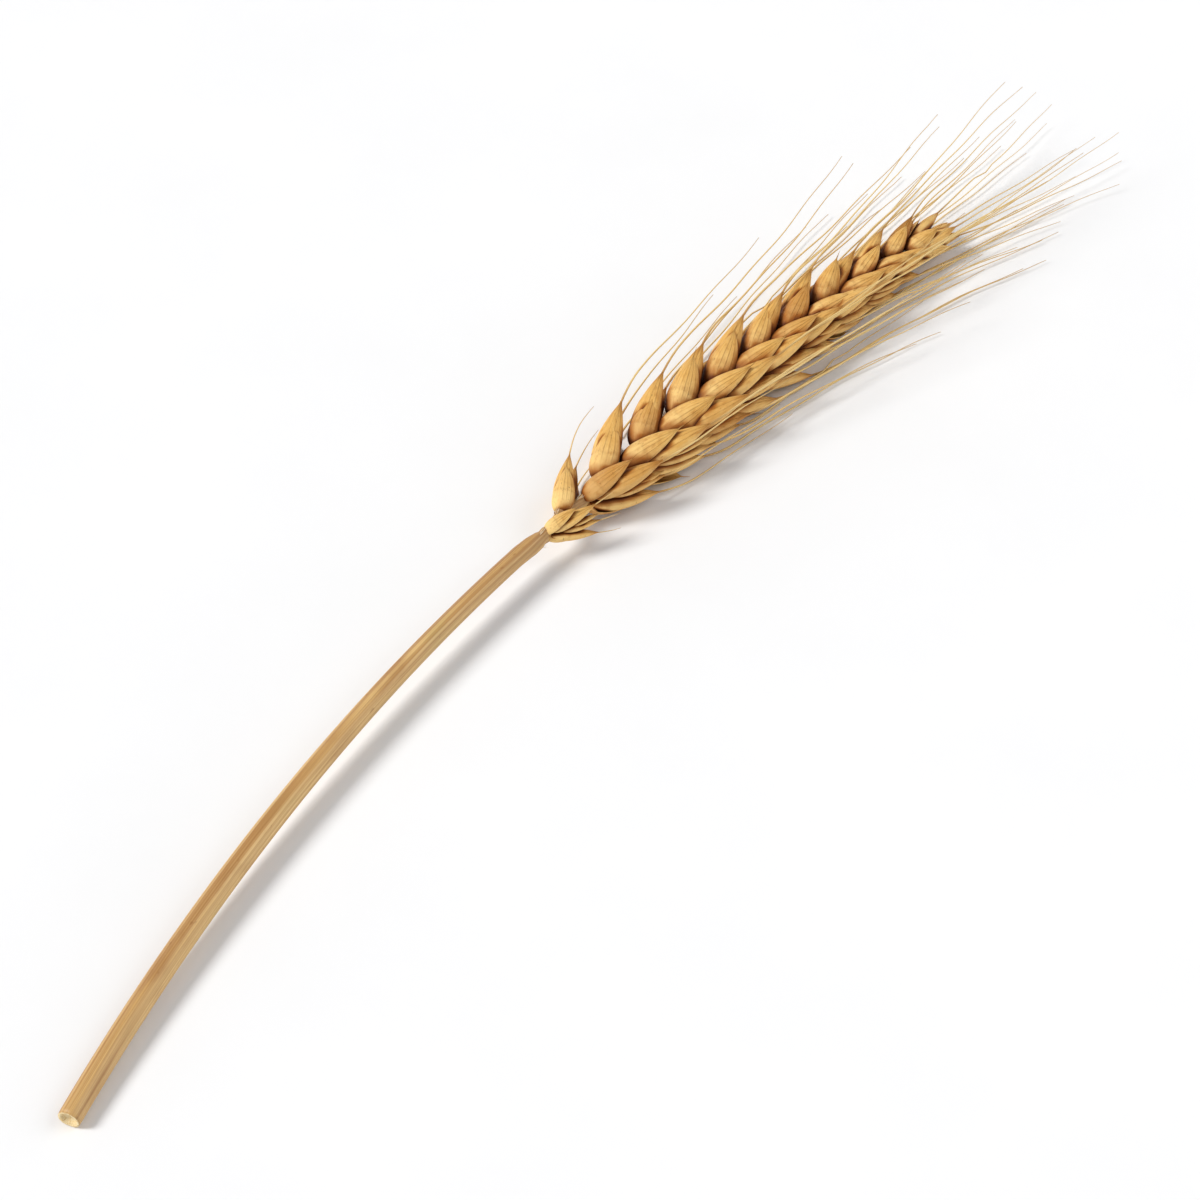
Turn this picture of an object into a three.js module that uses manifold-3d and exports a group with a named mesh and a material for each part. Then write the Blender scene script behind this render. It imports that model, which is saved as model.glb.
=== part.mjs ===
// A bearded wheat ear on a length of its cut straw, lying on its side on a table.
// Millimetres, +Z up. The straw's cut end is at -X, the ear points to +X, and the origin is on the
// table under the middle of the part's box.
import * as THREE from "three";
import { mergeVertices } from "three/addons/utils/BufferGeometryUtils.js";
import Module from "manifold-3d";

const wasm = await Module();
wasm.setup();

// Driving dimensions of the stalk
const STRAW_LENGTH = 105;
const STRAW_RADIUS = 1.4;
const COLLAR_LENGTH = 3;
const RACHIS_LENGTH = 76;
const RACHIS_HALF_WIDTH = 1.05;
const RACHIS_HALF_THICKNESS = 0.6;
const RACHIS_TAPER = 0.4;
const RACHIS_ZIGZAG = 0.45;
const NODE_CROWDING = 0.06;

// How the stalk lies: headings in plan, and the height of its axis over the table
const STRAW_HEADING = THREE.MathUtils.degToRad(20);
const STRAW_NOD = THREE.MathUtils.degToRad(17);
const EAR_NOD = THREE.MathUtils.degToRad(7);
const EAR_LENGTH = 90;
const EAR_HEIGHT = 4.3;
const EAR_DROOP = 0.9;
const CUT_END_HEIGHT = STRAW_RADIUS - 0.05;
const EAR_TWIST = THREE.MathUtils.degToRad(22);
const EAR_UNTURNED = 0.4;

// Driving dimensions of a full-size spikelet: two glumes outside, hollow on their inner side, and three
// florets between them, all grown together at the foot. A husk's outer half faces away from the rachis
// and its inner half has the blunter shoulder.
const SPIKELET_COUNT = 21;
const SPIKELET_SEAT = 0.45;
const SPIKELET_INCURVE = 0.005;
const HUSK_RINGS = 5;
const HOLLOW_FROM = 0.35;
const GLUME = {
  sides: 6,
  length: 9.2,
  outer: { width: 1.85, foot: 0.45, tip: 0.95 },
  inner: { width: 2.3, foot: 0.45, tip: 0.8 },
  depth: { foot: 0.45, tip: 0.9 },
  back: 1.75,
  belly: 1.1,
  hollow: 2.05,
  along: -0.3,
  apart: 0.5,
  tilt: 22,
};
const OUTER_FLORET = {
  sides: 5,
  length: 12.2,
  outer: { width: 1.9, foot: 0.55, tip: 1 },
  inner: { width: 1.9, foot: 0.55, tip: 1 },
  depth: { foot: 0.55, tip: 0.85 },
  back: 1.45,
  belly: 1.25,
  hollow: 0,
  apart: 0.5,
  tilt: 15,
};
const INNER_FLORET = {
  sides: 4,
  length: 9.8,
  outer: { width: 1.5, foot: 0.55, tip: 1 },
  inner: { width: 1.5, foot: 0.55, tip: 1 },
  depth: { foot: 0.55, tip: 0.85 },
  back: 0.9,
  belly: 0.9,
  hollow: 0,
  apart: 0.05,
  tilt: 2,
};
const FLORETS = [
  { ...OUTER_FLORET, along: 0.3, side: 1, awn: 48 },
  { ...OUTER_FLORET, along: 1, side: -1, awn: 48 },
  { ...INNER_FLORET, along: 3.3, side: 1, awn: 40 },
];

// How the spikelets change from the foot of the ear to its tip: the lowest and highest are smaller, the
// lean in degrees lessens, and the awns are shortest at the foot. Ranges are for the draws.
const FOOT_SHRINK = 0.42;
const FOOT_SHARE = 0.2;
const TIP_SHRINK = 0.36;
const TIP_SHARE = 0.6;
const FOOT_LEAN = 31;
const TIP_LEAN = 15;
const BEARDLESS_SPIKELETS = 0.3;
const BEARDING_SPIKELETS = 3.5;
const SHORTEST_BEARD = 0.08;
const TIP_BEARD_LOSS = 0.35;
const SIZE_RANGE = 0.03;
const LEAN_RANGE = 2;
const TURN_RANGE = 0.07;
const AWN_RANGE = 0.14;

// The spikelet that ends the rachis
const LAST_GAP = 0.6;
const LAST_SIZE = 0.76;
const LAST_BEARD = 0.65;

// Driving dimensions of the awns, the stiff bristles that the florets' tips run on into
const AWN_ROOT_RADIUS = 0.36;
const AWN_TIP_RADIUS = 0.2;
const AWN_STATIONS = 3;
const AWN_SUBSTEPS = 8;
const AWN_SPREAD = 0.28;
const AWN_SPREAD_RADIUS = 6;
const AWN_DRIFT = 0.05;
const AWN_DRIFT_WAVES = { left: 17, up: 13, across: 3 };
const AWN_TABLE_GAP = 0.7;
const AWN_LIFT = 0.15;

const SEED = 4021;

// The same draws each run: the minimal standard generator, as a value from -1 to 1.
let drawState = SEED;
function draw() {
  drawState = (drawState * 16807) % 2147483647;
  return (2 * drawState) / 2147483647 - 1;
}

// The height of the stalk's axis at a distance along it from the cut end: it rises from the table to the
// foot of the ear, and the ear droops a little to its tip.
function axisHeight(distance) {
  const straw = THREE.MathUtils.clamp(distance / STRAW_LENGTH, 0, 1);
  const ear = THREE.MathUtils.clamp((distance - STRAW_LENGTH) / EAR_LENGTH, 0, 1);
  const rise = (EAR_HEIGHT - CUT_END_HEIGHT) * Math.sin((straw * Math.PI) / 2);
  return CUT_END_HEIGHT + rise - EAR_DROOP * ear ** 2;
}

// The stalk's axis at a distance along it: a wide arc for the straw, then a tighter one for the ear.
function axisAt(distance) {
  const inStraw = Math.min(distance, STRAW_LENGTH);
  const inEar = THREE.MathUtils.clamp(distance - STRAW_LENGTH, 0, EAR_LENGTH);
  const beyond = distance - inStraw - inEar;
  const point = new THREE.Vector3();
  let heading = STRAW_HEADING;
  const stretches = [
    [inStraw, STRAW_NOD / STRAW_LENGTH],
    [inEar, EAR_NOD / EAR_LENGTH],
  ];
  for (const [length, bend] of stretches) {
    const next = heading - bend * length;
    point.x += (Math.sin(heading) - Math.sin(next)) / bend;
    point.y += (Math.cos(next) - Math.cos(heading)) / bend;
    heading = next;
  }
  point.x += beyond * Math.cos(heading);
  point.y += beyond * Math.sin(heading);
  point.z = axisHeight(distance);
  const slope = axisHeight(distance + 0.5) - axisHeight(distance - 0.5);
  const along = new THREE.Vector3(Math.cos(heading), Math.sin(heading), slope).normalize();
  const left = new THREE.Vector3(-Math.sin(heading), Math.cos(heading), 0);
  return { point, left, up: new THREE.Vector3().crossVectors(along, left) };
}

// A point given by its distance along the ear from its foot, and its places to the left of and above
// the axis, on the table.
function onTable(along, left, up) {
  const axis = axisAt(STRAW_LENGTH + along);
  return axis.point.addScaledVector(axis.left, left).addScaledVector(axis.up, up);
}

// Bends a shape drawn along a straight X axis onto the stalk's axis.
function bendToTable(geometry) {
  const at = geometry.attributes.position;
  for (let i = 0; i < at.count; i++) {
    at.setXYZ(i, ...onTable(at.getX(i), at.getY(i), at.getZ(i)));
  }
  return geometry;
}

function toSolid(geometry) {
  const bare = new THREE.BufferGeometry();
  bare.setAttribute("position", geometry.attributes.position);
  bare.setIndex(geometry.index);
  const merged = mergeVertices(bare, 1e-4);
  return new wasm.Manifold(
    new wasm.Mesh({
      numProp: 3,
      vertProperties: merged.attributes.position.array,
      triVerts: new Uint32Array(merged.index.array),
    }),
  );
}

function toGeometry(solid) {
  const { vertProperties, triVerts } = solid.getMesh();
  const geometry = new THREE.BufferGeometry();
  geometry.setAttribute("position", new THREE.BufferAttribute(vertProperties, 3));
  geometry.setIndex(new THREE.BufferAttribute(triVerts, 1));
  geometry.computeVertexNormals();
  return geometry;
}

// The largest body of a solid, without the scraps that a cut leaves.
function mainBody(solid) {
  const bodies = solid.decompose();
  return bodies.reduce((largest, body) => (body.volume() > largest.volume() ? body : largest));
}

// A node of the rachis: its share of the ear, its place along the axis, and the side its spikelet is on.
function rachisNode(index) {
  const share = index / (SPIKELET_COUNT - 1);
  const along = RACHIS_LENGTH * share * (1 + NODE_CROWDING * (1 - share));
  return { share, along, side: index % 2 ? 1 : -1 };
}

function earTwist(along) {
  return EAR_TWIST * (along / EAR_LENGTH - EAR_UNTURNED);
}

// The straw, its collar, and the flattened zigzag rachis, as one turned shape that is flattened and
// shifted above the collar.
function stalkSolid() {
  const nodes = Array.from({ length: SPIKELET_COUNT }, (_, i) => rachisNode(i));
  const outline = [
    [0, 0],
    [STRAW_RADIUS, 0],
    [STRAW_RADIUS, 0.2 * STRAW_LENGTH],
    [0.98 * STRAW_RADIUS, 0.4 * STRAW_LENGTH],
    [0.94 * STRAW_RADIUS, 0.6 * STRAW_LENGTH],
    [0.89 * STRAW_RADIUS, 0.8 * STRAW_LENGTH],
    [0.85 * STRAW_RADIUS, STRAW_LENGTH - 2 * COLLAR_LENGTH],
    [1.02 * STRAW_RADIUS, STRAW_LENGTH - COLLAR_LENGTH],
    [0.9 * STRAW_RADIUS, STRAW_LENGTH - 0.5 * COLLAR_LENGTH],
  ];
  for (const node of nodes) {
    const radius = RACHIS_HALF_WIDTH * (1 - RACHIS_TAPER * node.share);
    outline.push([radius, STRAW_LENGTH + node.along]);
  }
  outline.push([0, STRAW_LENGTH + RACHIS_LENGTH + 2]);
  const points = outline.map(([radius, y]) => new THREE.Vector2(radius, y));
  const turned = new THREE.LatheGeometry(points, 8);
  const at = turned.attributes.position;
  for (let i = 0; i < at.count; i++) {
    const along = at.getY(i) - STRAW_LENGTH;
    const flat = THREE.MathUtils.clamp(1 + along / COLLAR_LENGTH, 0, 1);
    const thin = THREE.MathUtils.lerp(1, RACHIS_HALF_THICKNESS / RACHIS_HALF_WIDTH, flat);
    const left = at.getZ(i) * thin + flat * zigzag(along, nodes);
    const twist = along > 0 ? earTwist(along) : earTwist(0) * flat;
    const up = at.getX(i);
    at.setXYZ(
      i,
      along,
      left * Math.cos(twist) - up * Math.sin(twist),
      left * Math.sin(twist) + up * Math.cos(twist),
    );
  }
  return toSolid(bendToTable(turned));
}

// How far the rachis stands off the ear's axis: it turns at each node, away from its spikelet.
function zigzag(along, nodes) {
  const above = nodes.findIndex((node) => node.along > along);
  if (above === 0) return RACHIS_ZIGZAG * nodes[0].side;
  if (above < 0) return 0;
  const [low, high] = [nodes[above - 1], nodes[above]];
  const share = (along - low.along) / (high.along - low.along);
  return RACHIS_ZIGZAG * THREE.MathUtils.lerp(low.side, high.side, share);
}

// How full a husk is along its length: 1 where it is fullest, and 0 at its ends. The smaller foot and tip
// are, the blunter that end is.
function fullness(share, { foot, tip }) {
  const widest = foot / (foot + tip);
  return Math.pow(share / widest, foot) * Math.pow((1 - share) / (1 - widest), tip);
}

// The way of an awn at a point of the straight ear. All awns follow this one smooth field, so no two of
// them cross: it spreads from the ear's axis, drifts a little, and levels out over the table.
function awnWay(point) {
  const spread = AWN_SPREAD / (Math.hypot(point.y, point.z) + AWN_SPREAD_RADIUS);
  const waves = AWN_DRIFT_WAVES;
  const left = spread * point.y + AWN_DRIFT * Math.sin(point.x / waves.left + point.z / waves.across);
  const up = spread * point.z + AWN_DRIFT * Math.sin(point.x / waves.up + point.y / waves.across);
  const room = axisHeight(STRAW_LENGTH + point.x) + point.z - AWN_TABLE_GAP;
  const sink = 1 - Math.exp(-Math.max(0, room));
  return new THREE.Vector3(1, left, Math.max(up < 0 ? up * sink : up, -AWN_LIFT * room)).normalize();
}

// An awn's path from its floret's tip, as a few stations along the field.
function awnPath(tip, length) {
  const path = [tip];
  const step = length / (AWN_STATIONS * AWN_SUBSTEPS);
  for (let n = 0; n < AWN_STATIONS; n++) {
    const point = path.at(-1).clone();
    for (let m = 0; m < AWN_SUBSTEPS; m++) {
      point.addScaledVector(awnWay(point), step);
    }
    path.push(point);
  }
  return path;
}

// A husk in its spikelet's seat on a straight ear. It is drawn from its foot along X, with its back to
// +Z or -Z as side says and its width along Y, tilted out to that side and curved in towards the
// rachis. Its tip may run on as an awn.
function husk(form, { size, seat }, side, awnLength = 0) {
  const tilt = new THREE.Matrix4().makeRotationY(-side * THREE.MathUtils.degToRad(form.tilt));
  tilt.setPosition(form.along * size, 0, side * form.apart * size);
  const inEar = (along, across, out) => {
    const point = new THREE.Vector3(along, across, out).applyMatrix4(tilt);
    point.y -= SPIKELET_INCURVE * Math.max(0, point.x) ** 2;
    return point.applyMatrix4(seat);
  };
  const tip = inEar(form.length * size, 0, 0);
  const awn = awnLength ? awnPath(tip, awnLength) : [];
  const stations = HUSK_RINGS + Math.max(0, awn.length - 1);
  const shape = new THREE.SphereGeometry(1, form.sides, stations);
  const at = shape.attributes.position;
  for (let i = 0; i < at.count; i++) {
    const height = THREE.MathUtils.clamp(at.getY(i), -1, 1);
    const station = stations - Math.round((Math.acos(height) / Math.PI) * stations);
    const girth = Math.hypot(at.getX(i), at.getZ(i)) || 1;
    const across = -at.getX(i) / girth;
    const out = at.getZ(i) / girth;
    if (awn.length && station >= HUSK_RINGS) {
      const share = (station - HUSK_RINGS) / AWN_STATIONS;
      const radius = share < 1 ? THREE.MathUtils.lerp(AWN_ROOT_RADIUS, AWN_TIP_RADIUS, share) * size : 0;
      const offset = inEar(form.length * size, across * radius, out * radius).sub(tip);
      at.setXYZ(i, ...offset.add(awn[station - HUSK_RINGS]));
    } else {
      const share = (1 - Math.cos((Math.PI * station) / HUSK_RINGS)) / 2;
      const skin = station > 0 && station < HUSK_RINGS ? size : 0;
      const half = across > 0 ? form.outer : form.inner;
      const belly = form.belly - form.hollow * Math.min(1, share / HOLLOW_FROM);
      const depth = (side * out > 0 ? form.back : belly) * fullness(share, form.depth);
      const breadth = half.width * fullness(share, half);
      const point = inEar(form.length * size * share, across * breadth * skin, out * depth * skin);
      at.setXYZ(i, ...point);
    }
  }
  return shape;
}

// What sets one spikelet apart: its size, lean, place, turn about the ear and awn lengths.
function spikeletPlan(index) {
  const { share, along, side } = rachisNode(index);
  const nearFoot = Math.max(0, 1 - share / FOOT_SHARE);
  const nearTip = Math.max(0, 1 - (1 - share) / TIP_SHARE);
  const full = (1 - FOOT_SHRINK * nearFoot ** 2) * (1 - TIP_SHRINK * nearTip ** 2);
  const size = full * (1 + SIZE_RANGE * draw());
  const upright = THREE.MathUtils.lerp(FOOT_LEAN, TIP_LEAN, share);
  const lean = THREE.MathUtils.degToRad(upright + LEAN_RANGE * draw());
  const turn = earTwist(along) + (side < 0 ? Math.PI : 0) + TURN_RANGE * draw();
  const rising = (index - BEARDLESS_SPIKELETS) / BEARDING_SPIKELETS;
  const beard = THREE.MathUtils.clamp(rising, SHORTEST_BEARD, 1) * (1 - TIP_BEARD_LOSS * share);
  const awns = FLORETS.map((floret) => floret.awn * beard * (1 + AWN_RANGE * draw()));
  const seat = new THREE.Matrix4()
    .makeTranslation(along, 0, 0)
    .multiply(new THREE.Matrix4().makeRotationX(turn))
    .multiply(new THREE.Matrix4().makeTranslation(0, SPIKELET_SEAT, 0))
    .multiply(new THREE.Matrix4().makeRotationZ(lean));
  return { size, seat, awns };
}

// The last spikelet ends the rachis upright, a quarter turn from the others.
function tipPlan() {
  const along = RACHIS_LENGTH + LAST_GAP;
  const seat = new THREE.Matrix4()
    .makeTranslation(along, 0, 0)
    .multiply(new THREE.Matrix4().makeRotationX(earTwist(along) + Math.PI / 2));
  return { size: LAST_SIZE, seat, awns: FLORETS.map((floret) => LAST_BEARD * floret.awn) };
}

// One spikelet's husks on the table, each a closed shape with its foot in the others and in the rachis.
function spikeletHusks(plan) {
  const husks = [1, -1].map((side) => husk(GLUME, plan, side));
  FLORETS.forEach((floret, n) => {
    husks.push(husk(floret, plan, floret.side, plan.awns[n]));
  });
  return husks.map((shape) => toSolid(bendToTable(shape)));
}

// The space under the table top, which what rests on the table is cut by.
function underTable() {
  const reach = 2 * (STRAW_LENGTH + EAR_LENGTH);
  const depth = 20;
  return toSolid(new THREE.BoxGeometry(2 * reach, reach, depth).translate(0, 0, -depth / 2));
}

const plans = Array.from({ length: SPIKELET_COUNT }, (_, i) => spikeletPlan(i));
plans.push(tipPlan());
const grown = wasm.Manifold.union([stalkSolid(), ...plans.flatMap(spikeletHusks)]);
const geometry = toGeometry(mainBody(grown.subtract(underTable())));
const material = new THREE.MeshStandardMaterial({ color: 0xd6ad68, roughness: 0.6, metalness: 0 });
const ear = new THREE.Mesh(geometry, material);
ear.name = "wheat_ear";

// Moves the part so that its origin is on the table under the middle of its box.
geometry.computeBoundingBox();
const middle = geometry.boundingBox.getCenter(new THREE.Vector3());
ear.position.set(-middle.x, -middle.y, 0);
const part = new THREE.Group().add(ear);

export default part;
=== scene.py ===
"""Looks of a dried bearded wheat ear on its cut straw, lying on a pale floor.

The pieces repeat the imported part's layout in millimetres, with finer husks, thin awns and a ribbed
straw, and become metres where their meshes are made.
"""

import logging
import math
from dataclasses import dataclass, field, replace
from enum import Enum
from typing import Any, Sequence, Union

import bpy
import numpy as np
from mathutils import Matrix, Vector
from mathutils.bvhtree import BVHTree


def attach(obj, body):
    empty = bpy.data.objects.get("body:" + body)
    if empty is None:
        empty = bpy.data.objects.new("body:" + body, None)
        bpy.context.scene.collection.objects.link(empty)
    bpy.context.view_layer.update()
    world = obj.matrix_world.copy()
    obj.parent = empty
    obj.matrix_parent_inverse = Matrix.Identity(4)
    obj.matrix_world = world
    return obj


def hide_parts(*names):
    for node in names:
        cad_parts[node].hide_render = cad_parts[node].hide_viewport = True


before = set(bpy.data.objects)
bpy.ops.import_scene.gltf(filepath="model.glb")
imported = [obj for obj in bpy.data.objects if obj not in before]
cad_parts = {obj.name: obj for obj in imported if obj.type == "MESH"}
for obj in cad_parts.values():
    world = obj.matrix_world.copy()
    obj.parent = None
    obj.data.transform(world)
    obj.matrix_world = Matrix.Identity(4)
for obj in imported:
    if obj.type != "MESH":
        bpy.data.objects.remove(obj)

LOG = logging.getLogger("wheat_ear")
MM = 0.001
NODE = "wheat_ear"
UV = "Grown"
TONE = "tone"
# The depth attribute holds how much of the sky over each husk point its neighbours block; the husks paint
# it into their colour as shade.
PAINTED_SHADE = "depth"
Colour = tuple[float, float, float, float]
Profile = tuple[tuple[float, float], ...]
Number = Union[int, float, "Shade"]


def srgb(red: int, green: int, blue: int) -> Colour:
    """Gives a screen colour as the linear colour that a shader takes.

    Args:
        red: Red from 0 to 255.
        green: Green from 0 to 255.
        blue: Blue from 0 to 255.

    Returns:
        The linear colour with full alpha.
    """
    parts = [c / 255 for c in (red, green, blue)]
    linear = [c / 12.92 if c <= 0.04045 else ((c + 0.055) / 1.055) ** 2.4 for c in parts]
    return (linear[0], linear[1], linear[2], 1.0)


def ease(value: np.ndarray, low: float, high: float) -> np.ndarray:
    """Rises smoothly from 0 at low to 1 at high."""
    share = np.clip((value - low) / (high - low), 0.0, 1.0)
    return share * share * (3 - 2 * share)


@dataclass
class Draws:
    """Seeded draws from -1 to 1, the same ones that lay out the part."""

    state: int
    multiplier: int = 16807
    modulus: int = 2147483647

    def next(self) -> float:
        """Gives the next draw."""
        self.state = self.state * self.multiplier % self.modulus
        return 2 * self.state / self.modulus - 1


class Shade:
    """One value in a material's nodes. Python's operators on it add Math nodes."""

    def __init__(self, nodes: "Nodes", socket: bpy.types.NodeSocket) -> None:
        """Wraps an output socket of a material's nodes."""
        self.nodes = nodes
        self.socket = socket

    def _math(self, operation: str, first: Number, second: Number) -> "Shade":
        """Adds a Math node on two values."""
        return self.nodes.add("ShaderNodeMath", {"operation": operation}, {0: first, 1: second})

    def __add__(self, other: Number) -> "Shade":
        """Adds."""
        return self._math("ADD", self, other)

    def __radd__(self, other: Number) -> "Shade":
        """Adds, reflected."""
        return self._math("ADD", other, self)

    def __sub__(self, other: Number) -> "Shade":
        """Subtracts."""
        return self._math("SUBTRACT", self, other)

    def __rsub__(self, other: Number) -> "Shade":
        """Subtracts, reflected."""
        return self._math("SUBTRACT", other, self)

    def __mul__(self, other: Number) -> "Shade":
        """Multiplies."""
        return self._math("MULTIPLY", self, other)

    def __rmul__(self, other: Number) -> "Shade":
        """Multiplies, reflected."""
        return self._math("MULTIPLY", other, self)

    def __pow__(self, other: Number) -> "Shade":
        """Raises to a power."""
        return self._math("POWER", self, other)

    def __rpow__(self, other: Number) -> "Shade":
        """Raises to a power, reflected."""
        return self._math("POWER", other, self)

    def __abs__(self) -> "Shade":
        """Drops the sign."""
        return self._math("ABSOLUTE", self, 0.0)

    def cosine(self) -> "Shade":
        """Takes the cosine."""
        return self._math("COSINE", self, 0.0)

    def ease(self, low: float, high: float) -> "Shade":
        """Rises smoothly from 0 at low to 1 at high, or falls where low is the greater.

        Args:
            low: Where it is 0.
            high: Where it is 1.

        Returns:
            The eased value.
        """
        if low > high:
            return 1 - self.ease(high, low)
        return self.nodes.add(
            "ShaderNodeMapRange",
            {"interpolation_type": "SMOOTHSTEP"},
            {"Value": self, "From Min": low, "From Max": high},
        )


class Nodes:
    """The node tree of one material, with its shader and output in place."""

    def __init__(self, name: str) -> None:
        """Makes a material with a Principled shader.

        Args:
            name: The material's name.
        """
        self.material = bpy.data.materials.new(name)
        self.material.use_nodes = True
        self.tree = self.material.node_tree
        self.shader = self.tree.nodes["Principled BSDF"]

    def add(
        self,
        kind: str,
        settings: dict[str, Any],
        sockets: dict[Union[int, str], Any],
        output: Union[int, str] = 0,
    ) -> Shade:
        """Adds a node: its settings first, then the values or links of its sockets.

        Args:
            kind: The node's type.
            settings: Properties of the node.
            sockets: Values or shades by input name or index.
            output: The output to hand back.

        Returns:
            The chosen output.
        """
        node = self.tree.nodes.new(kind)
        for name, value in settings.items():
            setattr(node, name, value)
        for key, value in sockets.items():
            self.feed(node.inputs[key], value)
        return Shade(self, node.outputs[output])

    def feed(self, socket: bpy.types.NodeSocket, value: Any) -> None:
        """Sets a socket to a value, or links it to a shade.

        Args:
            socket: An input of one of the nodes.
            value: A value of the socket's own kind, or a shade.
        """
        if isinstance(value, Shade):
            self.tree.links.new(value.socket, socket)
        else:
            socket.default_value = value

    def surface(self) -> tuple[Shade, Shade, Shade]:
        """Gives the place across and along a grown skin, and its tone.

        Returns:
            U, V and the tone of the husk or stalk.
        """
        place = self.add("ShaderNodeUVMap", {"uv_map": UV}, {})
        split = self.add("ShaderNodeSeparateXYZ", {}, {0: place})
        along = Shade(self, split.socket.node.outputs[1])
        return split, along, self.attribute(TONE)

    def attribute(self, name: str) -> Shade:
        """Gives a value that the mesh holds at its points."""
        return self.add("ShaderNodeAttribute", {"attribute_name": name}, {}, "Fac")

    def noise(self, x: Number, y: Number, z: Number, detail: float) -> Shade:
        """Gives noise from 0 to 1 at a place of its own space.

        Args:
            x: First coordinate, in cells of the noise.
            y: Second coordinate.
            z: Third coordinate.
            detail: How many finer layers it has.

        Returns:
            The noise's value.
        """
        place = self.add("ShaderNodeCombineXYZ", {}, {0: x, 1: y, 2: z})
        return self.add("ShaderNodeTexNoise", {}, {"Vector": place, "Scale": 1.0, "Detail": detail})

    def mix(self, factor: Number, first: Any, second: Any) -> Shade:
        """Mixes two colours.

        Args:
            factor: Share of the second colour.
            first: A colour or a shade.
            second: A colour or a shade.

        Returns:
            The mixed colour.
        """
        share, first_colour, second_colour, mixed_colour = 0, 6, 7, 2
        sockets = {share: factor, first_colour: first, second_colour: second}
        settings = {"data_type": "RGBA", "clamp_factor": True}
        return self.add("ShaderNodeMix", settings, sockets, mixed_colour)

    def layers(self, colour: Any, *coats: tuple[Number, Colour]) -> Shade:
        """Lays colours over a colour.

        Args:
            colour: The colour under them.
            coats: The share and the colour of each coat, in order.

        Returns:
            The colour with its coats.
        """
        for share, coat in coats:
            colour = self.mix(share, colour, coat)
        return colour

    def dress(self, colour: Any, rough: Number, height: Shade, depth_mm: float) -> None:
        """Feeds the shader with colour, roughness and relief.

        Args:
            colour: The base colour.
            rough: The roughness.
            height: The relief from 0 to 1.
            depth_mm: How deep the relief is.
        """
        relief = {"Strength": 1.0, "Distance": depth_mm * MM, "Height": height}
        bump = self.add("ShaderNodeBump", {}, relief)
        self.feed(self.shader.inputs["Base Color"], colour)
        self.feed(self.shader.inputs["Roughness"], rough)
        self.feed(self.shader.inputs["Normal"], bump)


@dataclass(frozen=True)
class Grain:
    """A noise on a grown skin, in cells across and along it. A piece's tone moves it."""

    across: float
    along: float
    detail: float
    moves: tuple[float, float, float] = (0.0, 0.0, 0.0)
    layer: float = 0.0

    def on(self, nodes: Nodes, across: Number, along: Number, tone: Shade) -> Shade:
        """Lays the noise on a skin.

        Args:
            nodes: The material's nodes.
            across: The place across the skin.
            along: The place along it.
            tone: The piece's tone.

        Returns:
            The noise's value.
        """
        places = (across * self.across, along * self.along, self.layer)
        moved = [place + tone * move if move else place for place, move in zip(places, self.moves)]
        return nodes.noise(*moved, self.detail)


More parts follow.
